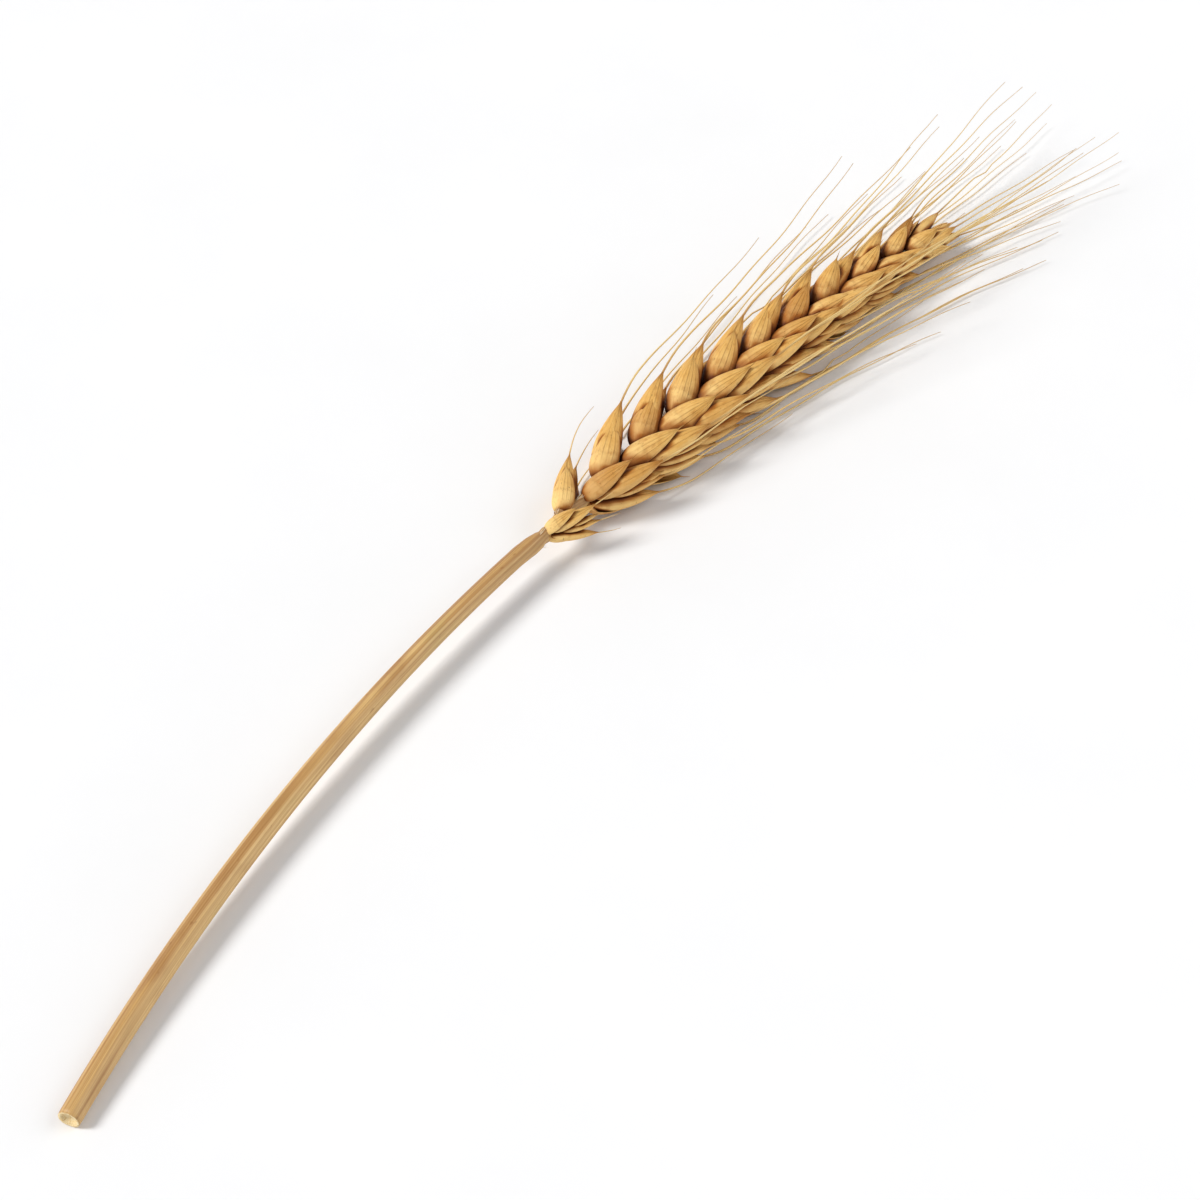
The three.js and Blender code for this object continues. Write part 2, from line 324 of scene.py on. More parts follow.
@dataclass(frozen=True)
class HuskFinish:
    """Dry papery husk: a pale plump foot, golden above, with fine nerves and thin pale edges.

    Places on a husk run from 0 at its foot to 1 at its tip. A share is how much of a colour is laid on.
    Some coats are painted shade: in the crevices between husks, along the glume's crease and partly at the
    very foot.
    """

    name: str
    pale: Colour = srgb(243, 205, 133)
    gold: Colour = srgb(222, 169, 86)
    deep: Colour = srgb(166, 92, 16)
    brown: Colour = srgb(92, 38, 2)
    nerves: float = 7.0
    nerve_sharpness: float = 7.0
    line: float = 0.36
    fibre: Grain = Grain(34, 2.2, 3.0, (19, 7, 5))
    blotch: Grain = Grain(2.4, 3.5, 4.0, (11, 0, 23))
    paper: Grain = Grain(7, 9, 5.0, (13, 5, 31))
    fleck: Grain = Grain(13, 17, 2.0, (29, 0, 3))
    paper_share: float = 0.4
    bleached_share: float = 0.35
    nerve_share: float = 0.1
    fibre_share: float = 0.2
    # Painted shade along the glume's crease.
    crease_shade_share: float = 0.16
    edge_share: float = 0.5
    dark_husk_share: float = 0.45
    pale_husk_share: float = 0.35
    tip_share: float = 0.55
    # Painted shade in the crevices that neighbouring husks close over: deep, then brown where they block
    # most of the sky.
    crevice_shade_share: float = 0.85
    deep_crevice_shade_share: float = 0.95
    # Brown at the very foot: partly the husk's own darker base, partly painted shadow where it sits.
    foot_share: float = 0.65
    fleck_share: float = 0.4
    relief: float = 0.09
    specular: float = 0.2

    def material(self) -> bpy.types.Material:
        """Builds the husk's material.

        Returns:
            The new material.
        """
        nodes = Nodes(self.name)
        across, along, tone = skin = nodes.surface()
        grains = (self.fibre, self.blotch, self.paper, self.fleck)
        fibre, blotch, paper, fleck = [grain.on(nodes, *skin) for grain in grains]
        side = abs(across * 2 - 1)
        vein = ((across * (2 * math.pi * self.nerves)).cosine() * 0.5 + 0.5) ** self.nerve_sharpness
        vein = vein * along.ease(0.12, 0.4) * side.ease(0.98, 0.7)
        bent = along + blotch * 0.16 + tone * 0.05 - 0.08
        # The crease across a glume: sunk in the relief and darkened in colour as painted shade.
        fold = bent.ease(self.line - 0.04, self.line) * bent.ease(self.line + 0.06, self.line)
        streak = vein * self.nerve_share + fibre.ease(0.55, 0.8) * self.fibre_share
        edge = side.ease(0.8, 1.0) * along.ease(0.25, 0.5)
        tip = (along + blotch * 0.4 - 0.2).ease(0.74, 1.0)
        # Brown at the very foot, partly real colour and partly painted shadow.
        foot = (along + blotch * 0.1 - 0.05).ease(0.09, 0.0)
        # Painted shade from the blocked share of sky, weaker towards the tip and broken up by blotches.
        crevice_shade = nodes.attribute(PAINTED_SHADE) * (1 - along.ease(0.55, 0.86) * 0.8) + blotch * 0.35 - 0.17
        colour = nodes.layers(
            nodes.mix(along.ease(0.18, 0.6) * 0.75 + blotch * 0.5 - 0.2, self.pale, self.gold),
            (paper.ease(0.5, 0.75) * self.paper_share, self.deep),
            (paper.ease(0.46, 0.3) * self.bleached_share, self.pale),
            (streak * along.ease(1.0, 0.75), self.deep),
            (fold * self.crease_shade_share, self.deep),
            (edge * self.edge_share, self.pale),
            (tone.ease(0.1, 1.0) * self.dark_husk_share, self.deep),
            (tone.ease(-0.1, -1.0) * self.pale_husk_share, self.pale),
            (tip * self.tip_share, self.deep),
            (crevice_shade.ease(0.03, 0.4) * self.crevice_shade_share, self.deep),
            (crevice_shade.ease(0.25, 0.7) * self.deep_crevice_shade_share, self.brown),
            (foot * self.foot_share, self.brown),
            (fleck.ease(0.66, 0.74) * self.fleck_share, self.brown),
        )
        rough = 0.46 + fibre * 0.16 + paper * 0.12 - vein * 0.06
        height = fibre * 0.45 + vein * 0.7 + paper * 0.5 - fold * 0.8
        nodes.dress(colour, rough, height, self.relief)
        nodes.shader.inputs["Specular IOR Level"].default_value = self.specular
        return nodes.material


@dataclass(frozen=True)
class AwnFinish:
    """Awn: a stiff pale bristle that darkens to its tip."""

    name: str
    pale: Colour = srgb(234, 206, 142)
    gold: Colour = srgb(212, 170, 96)
    tip: Colour = srgb(178, 130, 68)
    streak: Grain = Grain(4, 24, 3.0, (9, 0, 17))
    barb: Grain = Grain(6, 160, 1.0, (0, 0, 13))
    root_share: float = 0.9
    tip_share: float = 0.6
    relief: float = 0.03
    specular: float = 0.45

    def material(self) -> bpy.types.Material:
        """Builds the awn's material.

        Returns:
            The new material.
        """
        nodes = Nodes(self.name)
        _across, along, tone = skin = nodes.surface()
        streak = self.streak.on(nodes, *skin)
        colour = nodes.layers(
            nodes.mix(streak * 0.7 + tone * 0.3 + 0.1, self.pale, self.gold),
            (along.ease(0.16, 0.02) * self.root_share, self.tip),
            (along.ease(0.55, 1.0) * self.tip_share, self.tip),
        )
        nodes.dress(colour, 0.42 + streak * 0.2, self.barb.on(nodes, *skin), self.relief)
        nodes.shader.inputs["Specular IOR Level"].default_value = self.specular
        return nodes.material


@dataclass(frozen=True)
class StrawFinish:
    """Ripe straw: fine long stripes, a soft gloss, and stretches that lean to green or tan."""

    name: str
    pale: Colour = srgb(224, 188, 126)
    gold: Colour = srgb(194, 148, 84)
    green: Colour = srgb(180, 158, 96)
    tan: Colour = srgb(148, 94, 42)
    stripe: Grain = Grain(46, 3.2, 4.0)
    thread: Grain = Grain(120, 6.0, 2.0, layer=4.0)
    fleck: Grain = Grain(9, 60.0, 2.0, layer=2.0)
    band_width: float = 1.3
    band_length: float = 1.8
    patch_width: float = 0.4
    patch_length: float = 7.0
    green_share: float = 0.5
    tan_patch_share: float = 0.45
    band_share: float = 0.55
    top_share: float = 0.45
    thread_share: float = 0.35
    fleck_share: float = 0.5
    relief: float = 0.05
    gloss: float = 0.12
    gloss_roughness: float = 0.3

    def material(self) -> bpy.types.Material:
        """Builds the straw's material. Its bands and patches meet where the skin closes round it.

        Returns:
            The new material.
        """
        nodes = Nodes(self.name)
        around, along, _tone = skin = nodes.surface()
        grains = (self.stripe, self.thread, self.fleck)
        stripe, thread, fleck = [grain.on(nodes, *skin) for grain in grains]
        left = (around * (2 * math.pi)).cosine()
        above = (around * (2 * math.pi) - math.pi / 2).cosine()
        wide, long = self.band_width, self.band_length
        band = nodes.noise(left * wide, above * wide, along * long, 3.0)
        wide, long = self.patch_width, self.patch_length
        patch = nodes.noise(left * wide, above * wide, along * long, 4.0)
        colour = nodes.layers(
            nodes.mix(stripe.ease(0.3, 0.7), self.pale, self.gold),
            (patch.ease(0.5, 0.72) * self.green_share, self.green),
            (patch.ease(0.46, 0.26) * self.tan_patch_share, self.tan),
            (band.ease(0.44, 0.68) * self.band_share, self.tan),
            (along.ease(0.7, 1.0) * band.ease(0.3, 0.6) * self.top_share, self.tan),
            (thread.ease(0.56, 0.72) * self.thread_share, self.tan),
            (fleck.ease(0.68, 0.76) * self.fleck_share, self.tan),
        )
        nodes.dress(colour, 0.34 + stripe * 0.22, stripe * 0.6 + thread * 0.4, self.relief)
        nodes.shader.inputs["Coat Weight"].default_value = self.gloss
        nodes.shader.inputs["Coat Roughness"].default_value = self.gloss_roughness
        return nodes.material


@dataclass(frozen=True)
class CutFinish:
    """The cut face of the straw: a hard pale rim round spongy pith."""

    name: str
    rim: Colour = srgb(222, 190, 130)
    pith: Colour = srgb(238, 222, 182)
    shade: Colour = srgb(150, 108, 58)
    cell: Grain = Grain(40, 900, 3.0)
    shade_share: float = 0.6
    relief: float = 0.12

    def material(self) -> bpy.types.Material:
        """Builds the cut face's material.

        Returns:
            The new material.
        """
        nodes = Nodes(self.name)
        cells = self.cell.on(nodes, *nodes.surface())
        colour = nodes.layers(
            nodes.mix(cells.ease(0.35, 0.65), self.pith, self.rim),
            (cells.ease(0.6, 0.75) * self.shade_share, self.shade),
        )
        nodes.dress(colour, 0.75 + cells * 0.15, cells, self.relief)
        return nodes.material


@dataclass(frozen=True)
class FloorFinish:
    """The pale studio floor."""

    name: str
    white: Colour = srgb(245, 246, 248)
    grey: Colour = srgb(239, 240, 242)
    grain_scale: float = 30.0
    relief: float = 0.02

    def material(self) -> bpy.types.Material:
        """Builds the floor's material.

        Returns:
            The new material.
        """
        nodes = Nodes(self.name)
        place = nodes.add("ShaderNodeTexCoord", {}, {}, "Object")
        sockets = {"Vector": place, "Scale": self.grain_scale, "Detail": 3.0}
        grain = nodes.add("ShaderNodeTexNoise", {}, sockets)
        nodes.dress(nodes.mix(grain, self.white, self.grey), 0.8 + grain * 0.1, grain, self.relief)
        return nodes.material


@dataclass
class Skin:
    """Faces of one piece, gathered from grids of points in millimetres."""

    points: list[np.ndarray] = field(default_factory=list)
    faces: list[list[int]] = field(default_factory=list)
    places: list[np.ndarray] = field(default_factory=list)
    tones: list[np.ndarray] = field(default_factory=list)
    painted_shades: list[np.ndarray] = field(default_factory=list)
    slots: list[np.ndarray] = field(default_factory=list)
    count: int = 0
    soft_floor: float = 0.4

    def add(
        self,
        points: np.ndarray,
        across: np.ndarray,
        along: np.ndarray,
        tone: float,
        slot: Union[int, np.ndarray] = 0,
        mirrored: bool = False,
        depth: Union[float, np.ndarray] = 0.0,
    ) -> None:
        """Adds a tube of rings that is closed at both ends.

        Args:
            points: Rings by points by 3.
            across: U of each point round a ring, and of the first point again.
            along: V of each ring.
            tone: The tube's own tone.
            slot: The material slot, for all bands or for each band.
            mirrored: Whether the points were mirrored after they were drawn.
            depth: How much of the sky over each point its neighbours block, from 0 to 1, painted as shade
                in the colour.
        """
        rings, sides = points.shape[:2]
        depth = np.broadcast_to(depth, (rings, sides))
        if mirrored:
            points, depth = points[:, ::-1], depth[:, ::-1]
            across = np.append(across[-2::-1], across[-2])
        ring, side = np.meshgrid(np.arange(rings - 1), np.arange(sides), indexing="ij")
        after = (side + 1) % sides
        quads = [ring * sides + side, ring * sides + after]
        quads += [(ring + 1) * sides + after, (ring + 1) * sides + side]
        self.faces += (np.stack(quads, axis=-1).reshape(-1, 4) + self.count).tolist()
        u = np.stack([across[side], across[side + 1], across[side + 1], across[side]], axis=-1)
        v = np.stack([along[ring], along[ring], along[ring + 1], along[ring + 1]], axis=-1)
        self.places.append(np.stack([u, v], axis=-1).reshape(-1, 2))
        bands = np.broadcast_to(np.asarray(slot), (rings - 1,))
        self.slots.append(np.repeat(bands, sides))
        for end, step in ((0, -1), (rings - 1, 1)):
            loop = np.arange(sides)[::step]
            self.faces.append((loop + end * sides + self.count).tolist())
            self.places.append(np.stack([across[loop], np.full(sides, along[end])], axis=-1))
            self.slots.append(bands[[0 if end == 0 else -1]])
        self.points.append(points.reshape(-1, 3))
        self.tones.append(np.full(rings * sides, tone))
        self.painted_shades.append(depth.ravel())
        self.count += rings * sides

    def piece(self, name: str, materials: Sequence[bpy.types.Material]) -> bpy.types.Object:
        """Makes the piece in metres and hands it to the part's body.

        Args:
            name: The piece's name.
            materials: Its materials, by slot.

        Returns:
            The new object.
        """
        points = np.concatenate(self.points)
        low = self.soft_floor * np.exp(np.minimum(points[:, 2] / self.soft_floor - 1, 0))
        points[:, 2] = np.where(points[:, 2] < self.soft_floor, low, points[:, 2])
        mesh = bpy.data.meshes.new(name)
        mesh.from_pydata((points * MM).tolist(), [], self.faces)
        mesh.uv_layers.new(name=UV).data.foreach_set("uv", np.concatenate(self.places).ravel())
        # The second attribute carries the painted shade.
        for title, values in ((TONE, self.tones), (PAINTED_SHADE, self.painted_shades)):
            layer = mesh.attributes.new(title, "FLOAT", "POINT")
            layer.data.foreach_set("value", np.concatenate(values))
        mesh.polygons.foreach_set("material_index", np.concatenate(self.slots))
        mesh.polygons.foreach_set("use_smooth", np.ones(len(mesh.polygons), dtype=bool))
        for material in materials:
            mesh.materials.append(material)
        mesh.update()
        piece = bpy.data.objects.new(name, mesh)
        bpy.context.scene.collection.objects.link(piece)
        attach(piece, "root")
        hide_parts(NODE)
        return piece


@dataclass(frozen=True)
class StalkAxis:
    """The line that the straw and ear lie along: two arcs in plan over the table, in millimetres."""

    straw_length: float = 105.0
    straw_heading: float = math.radians(20)
    straw_nod: float = math.radians(17)
    ear_length: float = 90.0
    ear_nod: float = math.radians(7)
    ear_height: float = 4.3
    ear_droop: float = 0.9
    cut_end_height: float = 1.35
    ear_twist: float = math.radians(22)
    unturned: float = 0.4
    foot: tuple[float, float] = (-7.297, 3.991)

    def height(self, along: np.ndarray) -> np.ndarray:
        """Gives the axis's height over the table.

        Args:
            along: Distances from the foot of the ear, less than 0 on the straw.

        Returns:
            The heights.
        """
        straw = np.clip(1 + along / self.straw_length, 0, 1)
        ear = np.clip(along / self.ear_length, 0, 1)
        rise = (self.ear_height - self.cut_end_height) * np.sin(straw * math.pi / 2)
        return self.cut_end_height + rise - self.ear_droop * ear**2

    def twist(self, along: Any) -> Any:
        """Gives how far the ear is turned about its axis at distances from its foot."""
        return self.ear_twist * (along / self.ear_length - self.unturned)

    def to_table(self, points: np.ndarray) -> np.ndarray:
        """Bends points of a straight stalk onto the table.

        Args:
            points: Distances along the axis from the ear's foot, to its left and above it.

        Returns:
            The same points in the part's frame.
        """
        along, left, up = points[..., 0], points[..., 1], points[..., 2]
        straw = np.minimum(along, 0)
        ear = np.clip(along, 0, self.ear_length)
        beyond = along - straw - ear
        straw_bend = self.straw_nod / self.straw_length
        ear_bend = self.ear_nod / self.ear_length
        start = self.straw_heading - self.straw_nod
        low = start - straw_bend * straw
        high = start - ear_bend * ear
        heading = np.where(along < 0, low, high)
        x = (math.sin(start) - np.sin(low)) / straw_bend + (math.sin(start) - np.sin(high)) / ear_bend
        y = (np.cos(low) - math.cos(start)) / straw_bend + (np.cos(high) - math.cos(start)) / ear_bend
        x = x + self.foot[0] + beyond * np.cos(high)
        y = y + self.foot[1] + beyond * np.sin(high)
        half_step = 0.5
        slope = (self.height(along + half_step) - self.height(along - half_step)) / (2 * half_step)
        way = np.stack([np.cos(heading), np.sin(heading), slope], axis=-1)
        way /= np.linalg.norm(way, axis=-1, keepdims=True)
        beside = np.stack([-np.sin(heading), np.cos(heading), np.zeros_like(heading)], axis=-1)
        above = np.cross(way, beside)
        centre = np.stack([x, y, self.height(along)], axis=-1)
        return centre + beside * left[..., None] + above * up[..., None]


class HuskKind(Enum):
    """The two kinds of husk."""

    GLUME = "glume"
    LEMMA = "lemma"


@dataclass(frozen=True)
class HuskPose:
    """How one husk differs from the next: draws from -1 to 1."""

    warp: float
    roll: float
    tilt: float
    swing: float
    roll_range: float = math.radians(12)
    tilt_range: float = math.radians(3.5)
    swing_range: float = math.radians(4)


@dataclass(frozen=True)
class Swell:
    """A bulge along a husk: 0 at its ends and 1 at its fullest. The smaller an end, the blunter."""

    foot: float
    tip: float
    width: float = 1.0

    def at(self, share: np.ndarray) -> np.ndarray:
        """Gives the bulge along the husk.

        Args:
            share: Shares of its length.

        Returns:
            The bulge at each of them.
        """
        widest = self.foot / (self.foot + self.tip)
        rise = np.clip(share / widest, 0, None) ** self.foot
        return self.width * rise * np.clip((1 - share) / (1 - widest), 0, None) ** self.tip


@dataclass(frozen=True)
class HuskForm:
    """One husk of a full-size spikelet, in millimetres. It grows along X with its back to +Z.

    Its outer half faces away from the rachis, and its keel runs along the line between the halves.
    Places on it are shares of its length, and a reach past 1 draws its tip out into a beak.
    """

    kind: HuskKind
    length: float
    outer: Swell
    inner: Swell
    back: float
    along: float
    apart: float
    tilt: float
    belly: float = 0.0
    side: int = 1
    awn: float = 0.0
    depth: Swell = Swell(0.55, 0.85)
    reach: float = 1.0
    keel: float = 0.04
    keel_gain: float = 0.36
    flare: float = 0.25
    flare_range: float = 0.3
    flare_from: float = 0.45
    bow_range: float = 0.3
    point_radius: float = 0.17
    point_length: float = 0.3
    point_end: float = 0.06
    back_bluntness: float = 0.86
    belly_bluntness: float = 0.8
    nerve_places: tuple[float, ...] = (0, 0.42, -0.36, -0.66)
    nerve_width: float = 0.08
    nerve_height: float = 0.06
    line_place: float = 0.4
    line_wander: float = 0.03
    line_width: float = 0.03
    line_depth: float = 0.06
    foot_fill: float = 0.6
    hollow: float = 0.88
    edge_lip: float = 0.12
    first_ring: float = 0.03
    rings: int = 36
    sides: int = 44

    def curl(self, share: np.ndarray, warp: float) -> tuple[np.ndarray, np.ndarray]:
        """Gives how far a husk's middle is bent from a straight line.

        Args:
            share: Shares of its length.
            warp: The husk's draw.

        Returns:
            The bend across the husk and the bend towards its back.
        """
        flare = self.flare + self.flare_range * warp
        bow = self.bow_range * warp * share**2
        return bow, flare * np.clip(share - self.flare_from, 0, None) ** 2

    def middle(self, share: np.ndarray, size: float, warp: float) -> np.ndarray:
        """Gives the middle line of a husk.

        Args:
            share: Shares of its length.
            size: The spikelet's size.
            warp: The husk's draw.

        Returns:
            One point for each share.
        """
        bow, rise = self.curl(share, warp)
        return np.stack([self.length * share, bow, rise], axis=-1) * size

    def point(self, share: np.ndarray) -> np.ndarray:
        """Gives the radius of the stiff point that a husk's tip narrows to.

        Args:
            share: Shares of its length.

        Returns:
            The radii, which stay full where an awn grows on.
        """
        radius = self.point_radius * ease(share, 0.4, 0.9)
        if self.awn:
            return radius
        left = np.clip((self.reach - share) / self.point_length, 0, 1)
        return radius * (self.point_end + (1 - self.point_end) * left)

    def skins(
        self, share: np.ndarray, cos: np.ndarray, sin: np.ndarray, warp: float
    ) -> tuple[np.ndarray, np.ndarray]:
        """Gives how far the husk's two faces stand off its middle.

        Args:
            share: Shares of its length, by rows.
            cos: Places across it, from -1 to 1, by columns.
            sin: Places from its belly to its back, from -1 to 1, by columns.
            warp: The husk's draw.

        Returns:
            The heights of its back, with nerves, and of the face under it.
        """
        point, full = self.point(share), self.depth.at(share)
        back = np.hypot(self.back * full, point)
        keel = self.keel + self.keel_gain * np.clip(share, 0, 1)
        profile = (1 - keel) * np.abs(sin) ** self.back_bluntness + keel * (1 - np.abs(cos))
        nerve = sum(np.exp(-(((cos - place) / self.nerve_width) ** 2)) for place in self.nerve_places)
        raised = back * profile + self.nerve_height * full * nerve * ease(share, 0.12, 0.5)
        if self.kind is HuskKind.GLUME:
            off_line = (share - self.line_place - self.line_wander * warp * cos) / self.line_width
            raised = raised - self.line_depth * full * profile * np.exp(-(off_line**2))
            wall = -self.foot_fill + (self.foot_fill + self.hollow) * ease(share, 0.0, 0.36)
            return raised, back * profile * wall
        belly = np.hypot(self.belly * full, point) * np.abs(sin) ** self.belly_bluntness
        return raised, self.edge_lip * full * ease(-sin, 0.2, 0.36) - belly

    def grid(self, size: float, warp: float) -> tuple[np.ndarray, np.ndarray, np.ndarray]:
        """Draws the husk's skin as rings from its foot to its tip.

        Args:
            size: The spikelet's size.
            warp: A draw that sets this husk apart.

        Returns:
            The points, U round a ring and V along the husk.
        """
        share = self.reach * (1 - np.cos(np.linspace(self.first_ring, 1, self.rings) * math.pi)) / 2
        row = share[:, None]
        turn = np.linspace(0, 2 * math.pi, self.sides, endpoint=False)
        cos, sin = np.cos(turn)[None, :], np.sin(turn)[None, :]
        half = np.hypot(np.where(cos > 0, self.outer.at(row), self.inner.at(row)), self.point(row))
        raised, under = self.skins(row, cos, sin, warp)
        bow, rise = self.curl(row, warp)
        out = np.where(sin > 0, raised, under) + rise
        length = np.broadcast_to(self.length * row, out.shape)
        points = np.stack([length, half * cos + bow, out], axis=-1) * size
        around = np.linspace(0, 2 * math.pi, self.sides + 1)
        return points, (1 + np.cos(around)) / 2, share / self.reach


@dataclass(frozen=True)
class Awns:
    """The field that every awn follows, and the awns' thickness, in millimetres."""

    axis: StalkAxis
    spread: float = 0.28
    spread_radius: float = 6.0
    drift: float = 0.05
    drift_left_wave: float = 17.0
    drift_up_wave: float = 13.0
    drift_across_wave: float = 3.0
    table_gap: float = 0.7
    lift: float = 0.15
    bow: float = 0.002
    wave: float = 0.05
    wave_length: float = 2.3
    settled: float = 7.0
    kink: float = 0.24
    kink_return: float = 0.8
    kink_from: float = 0.3
    kink_range: float = 0.3
    kink_stations: int = 4
    creased: float = 0.93
    clearance: float = 0.55
    root_radius: float = 0.16
    tip_radius: float = 0.04
    taper: float = 1.1
    corners: int = 3
    corner_height: float = 0.18
    stations: int = 30
    sides: int = 8

    def way(self, point: np.ndarray) -> np.ndarray:
        """Gives the way of an awn at a point of the straight ear.

        Args:
            point: How far along, to the left of and above the axis it is.

        Returns:
            The way, of length 1.
        """
        along, left, up = point
        across = self.drift_across_wave
        spread = self.spread / (math.hypot(left, up) + self.spread_radius)
        aside = spread * left + self.drift * math.sin(along / self.drift_left_wave + up / across)
        rise = spread * up + self.drift * math.sin(along / self.drift_up_wave + left / across)
        room = float(self.axis.height(np.float64(along))) + up - self.table_gap
        sink = 1 - math.exp(-max(0.0, room))
        way = np.array([1.0, aside, max(rise * sink if rise < 0 else rise, -self.lift * room)])
        return way / np.linalg.norm(way)

    def kink_at(self, station: int, draw: float) -> float:
        """Gives how far an awn is bent to its side at a station, where it was once creased.

        Args:
            station: The station's number from the awn's root.
            draw: The awn's draw. Only the awns with a great one are creased.

        Returns:
            The bend, as a slope.
        """
        share = (abs(draw) - self.creased) / (1 - self.creased)
        past = station - round(self.stations * (self.kink_from + self.kink_range * share))
        if share < 0 or not 0 <= past < self.kink_stations:
            return 0.0
        return math.copysign(self.kink, draw) * (1 if 2 * past < self.kink_stations else -self.kink_return)

    def tube(
        self, root: np.ndarray, tip: np.ndarray, length: float, size: float, bow: Sequence[float]
    ) -> np.ndarray:
        """Draws one awn on the straight ear.

        Args:
            root: Where it starts, inside its lemma.
            tip: The lemma's tip.
            length: Its length past the tip.
            size: The spikelet's size.
            bow: Three draws that bow it to its side and upwards and set its waves and its kink.

        Returns:
            The awn's rings of points.
        """
        start = (tip - root) / np.linalg.norm(tip - root)
        path = [root, tip]
        step = length / (self.stations - 1)
        for station in range(1, self.stations):
            grown = station * step
            blend = min(1.0, grown / self.settled)
            way = (1 - blend) * start + blend * self.way(path[-1])
            wave = grown / self.wave_length + math.pi * bow[2]
            bend = self.wave * math.cos(wave) + self.kink_at(station, bow[2])
            way = way + np.array([0.0, self.bow * bow[0] * grown + bend, self.bow * bow[1] * grown])
            point = path[-1] + step * way / np.linalg.norm(way)
            point[2] = max(point[2], self.clearance - float(self.axis.height(point[0])))
            path.append(point)
        centre = np.array(path)
        share = np.linspace(0, 1, len(path))
        radius = self.tip_radius + (self.root_radius - self.tip_radius) * (1 - share) ** self.taper
        turn = np.linspace(0, 2 * math.pi, self.sides, endpoint=False)
        girth = 1 + self.corner_height * np.cos(self.corners * turn)
        ring = np.stack([0 * turn, girth * np.cos(turn), girth * np.sin(turn)], axis=-1)
        return centre[:, None, :] + radius[:, None, None] * size * ring[None]


def rotation(axis: int, angle: float) -> np.ndarray:
    """Gives the matrix of a turn about X, Y or Z.

    Args:
        axis: 0, 1 or 2.
        angle: Radians, by the right-hand rule.

    Returns:
        A 3 by 3 matrix.
    """
    first, second = (axis + 1) % 3, (axis + 2) % 3
    matrix = np.eye(3)
    matrix[first, first] = matrix[second, second] = math.cos(angle)
    matrix[second, first] = math.sin(angle)
    matrix[first, second] = -math.sin(angle)
    return matrix


class Look(Enum):
    """The material slots of a spikelet's piece."""

    GLUME = 0
    LEMMA = 1
    AWN = 2


@dataclass(frozen=True)
class Grown:
    """One husk or awn in its place on the table, in millimetres."""

    points: np.ndarray
    across: np.ndarray
    along: np.ndarray
    tone: float
    look: Look
    side: int = 1


@dataclass
class Crowd:
    """How closely the husks of the whole ear crowd round each other, felt with rays, in millimetres."""

    husks: Sequence[Grown]
    reach: float = 4.0
    lift: float = 0.15
    grazing: float = 0.1
    rays: int = 44
    ring_step: int = 3
    side_step: int = 4
    tree: BVHTree = field(init=False)
    ways: np.ndarray = field(init=False)

    def __post_init__(self) -> None:
        """Gathers the husks' skins, at half their rings and sides, and spreads the rays evenly."""
        points: list[list[float]] = []
        faces: list[list[int]] = []
        for husk in self.husks:
            coarse = husk.points[::2, ::2]
            rings, sides = coarse.shape[:2]
            ring, side = np.meshgrid(np.arange(rings - 1), np.arange(sides), indexing="ij")
            corners = [ring * sides + side, ring * sides + (side + 1) % sides]
            corners += [corners[1] + sides, corners[0] + sides]
            faces += (np.stack(corners, axis=-1).reshape(-1, 4) + len(points)).tolist()
            points += coarse.reshape(-1, 3).tolist()
        self.tree = BVHTree.FromPolygons(points, faces)
        golden_angle = math.pi * (3 - math.sqrt(5))
        turn = golden_angle * np.arange(self.rays)
        rise = 1 - (2 * np.arange(self.rays) + 1) / self.rays
        level = np.sqrt(1 - rise**2)
        self.ways = np.stack([level * np.cos(turn), level * np.sin(turn), rise], axis=-1)

    def at(self, point: np.ndarray, normal: np.ndarray) -> float:
        """Gives how much of the space over one point of a skin is taken up.

        Args:
            point: The point.
            normal: The way out of the skin there.

        Returns:
            A share from 0 to 1.
        """
        facing = self.ways @ normal
        start = Vector(point + self.lift * normal)
        outward = np.flatnonzero(facing > self.grazing)
        places = [self.tree.ray_cast(start, self.ways[way], self.reach)[0] for way in outward]
        return np.average([place is not None for place in places], weights=facing[outward])

    def over(self, husk: Grown) -> np.ndarray:
        """Gives how much of the space over a husk's skin its neighbours take up.

        Args:
            husk: The husk.

        Returns:
            A share from 0 to 1 for each point of its skin.
        """
        points = husk.points
        beside = np.roll(points, -1, axis=1) - np.roll(points, 1, axis=1)
        normal = husk.side * np.cross(beside, np.gradient(points, axis=0))
        normal /= np.linalg.norm(normal, axis=-1, keepdims=True) + 1e-9
        rings = np.unique(np.append(np.arange(0, len(points), self.ring_step), len(points) - 1))
        sides = np.arange(0, points.shape[1], self.side_step)
        shares = np.array([[self.at(points[r, s], normal[r, s]) for s in sides] for r in rings])
        closed = np.append(shares, shares[:, :1], axis=1)
        places = np.append(sides, points.shape[1])
        wide = np.stack([np.interp(np.arange(points.shape[1]), places, row) for row in closed])
        return np.stack([np.interp(np.arange(len(points)), rings, column) for column in wide.T], axis=-1)


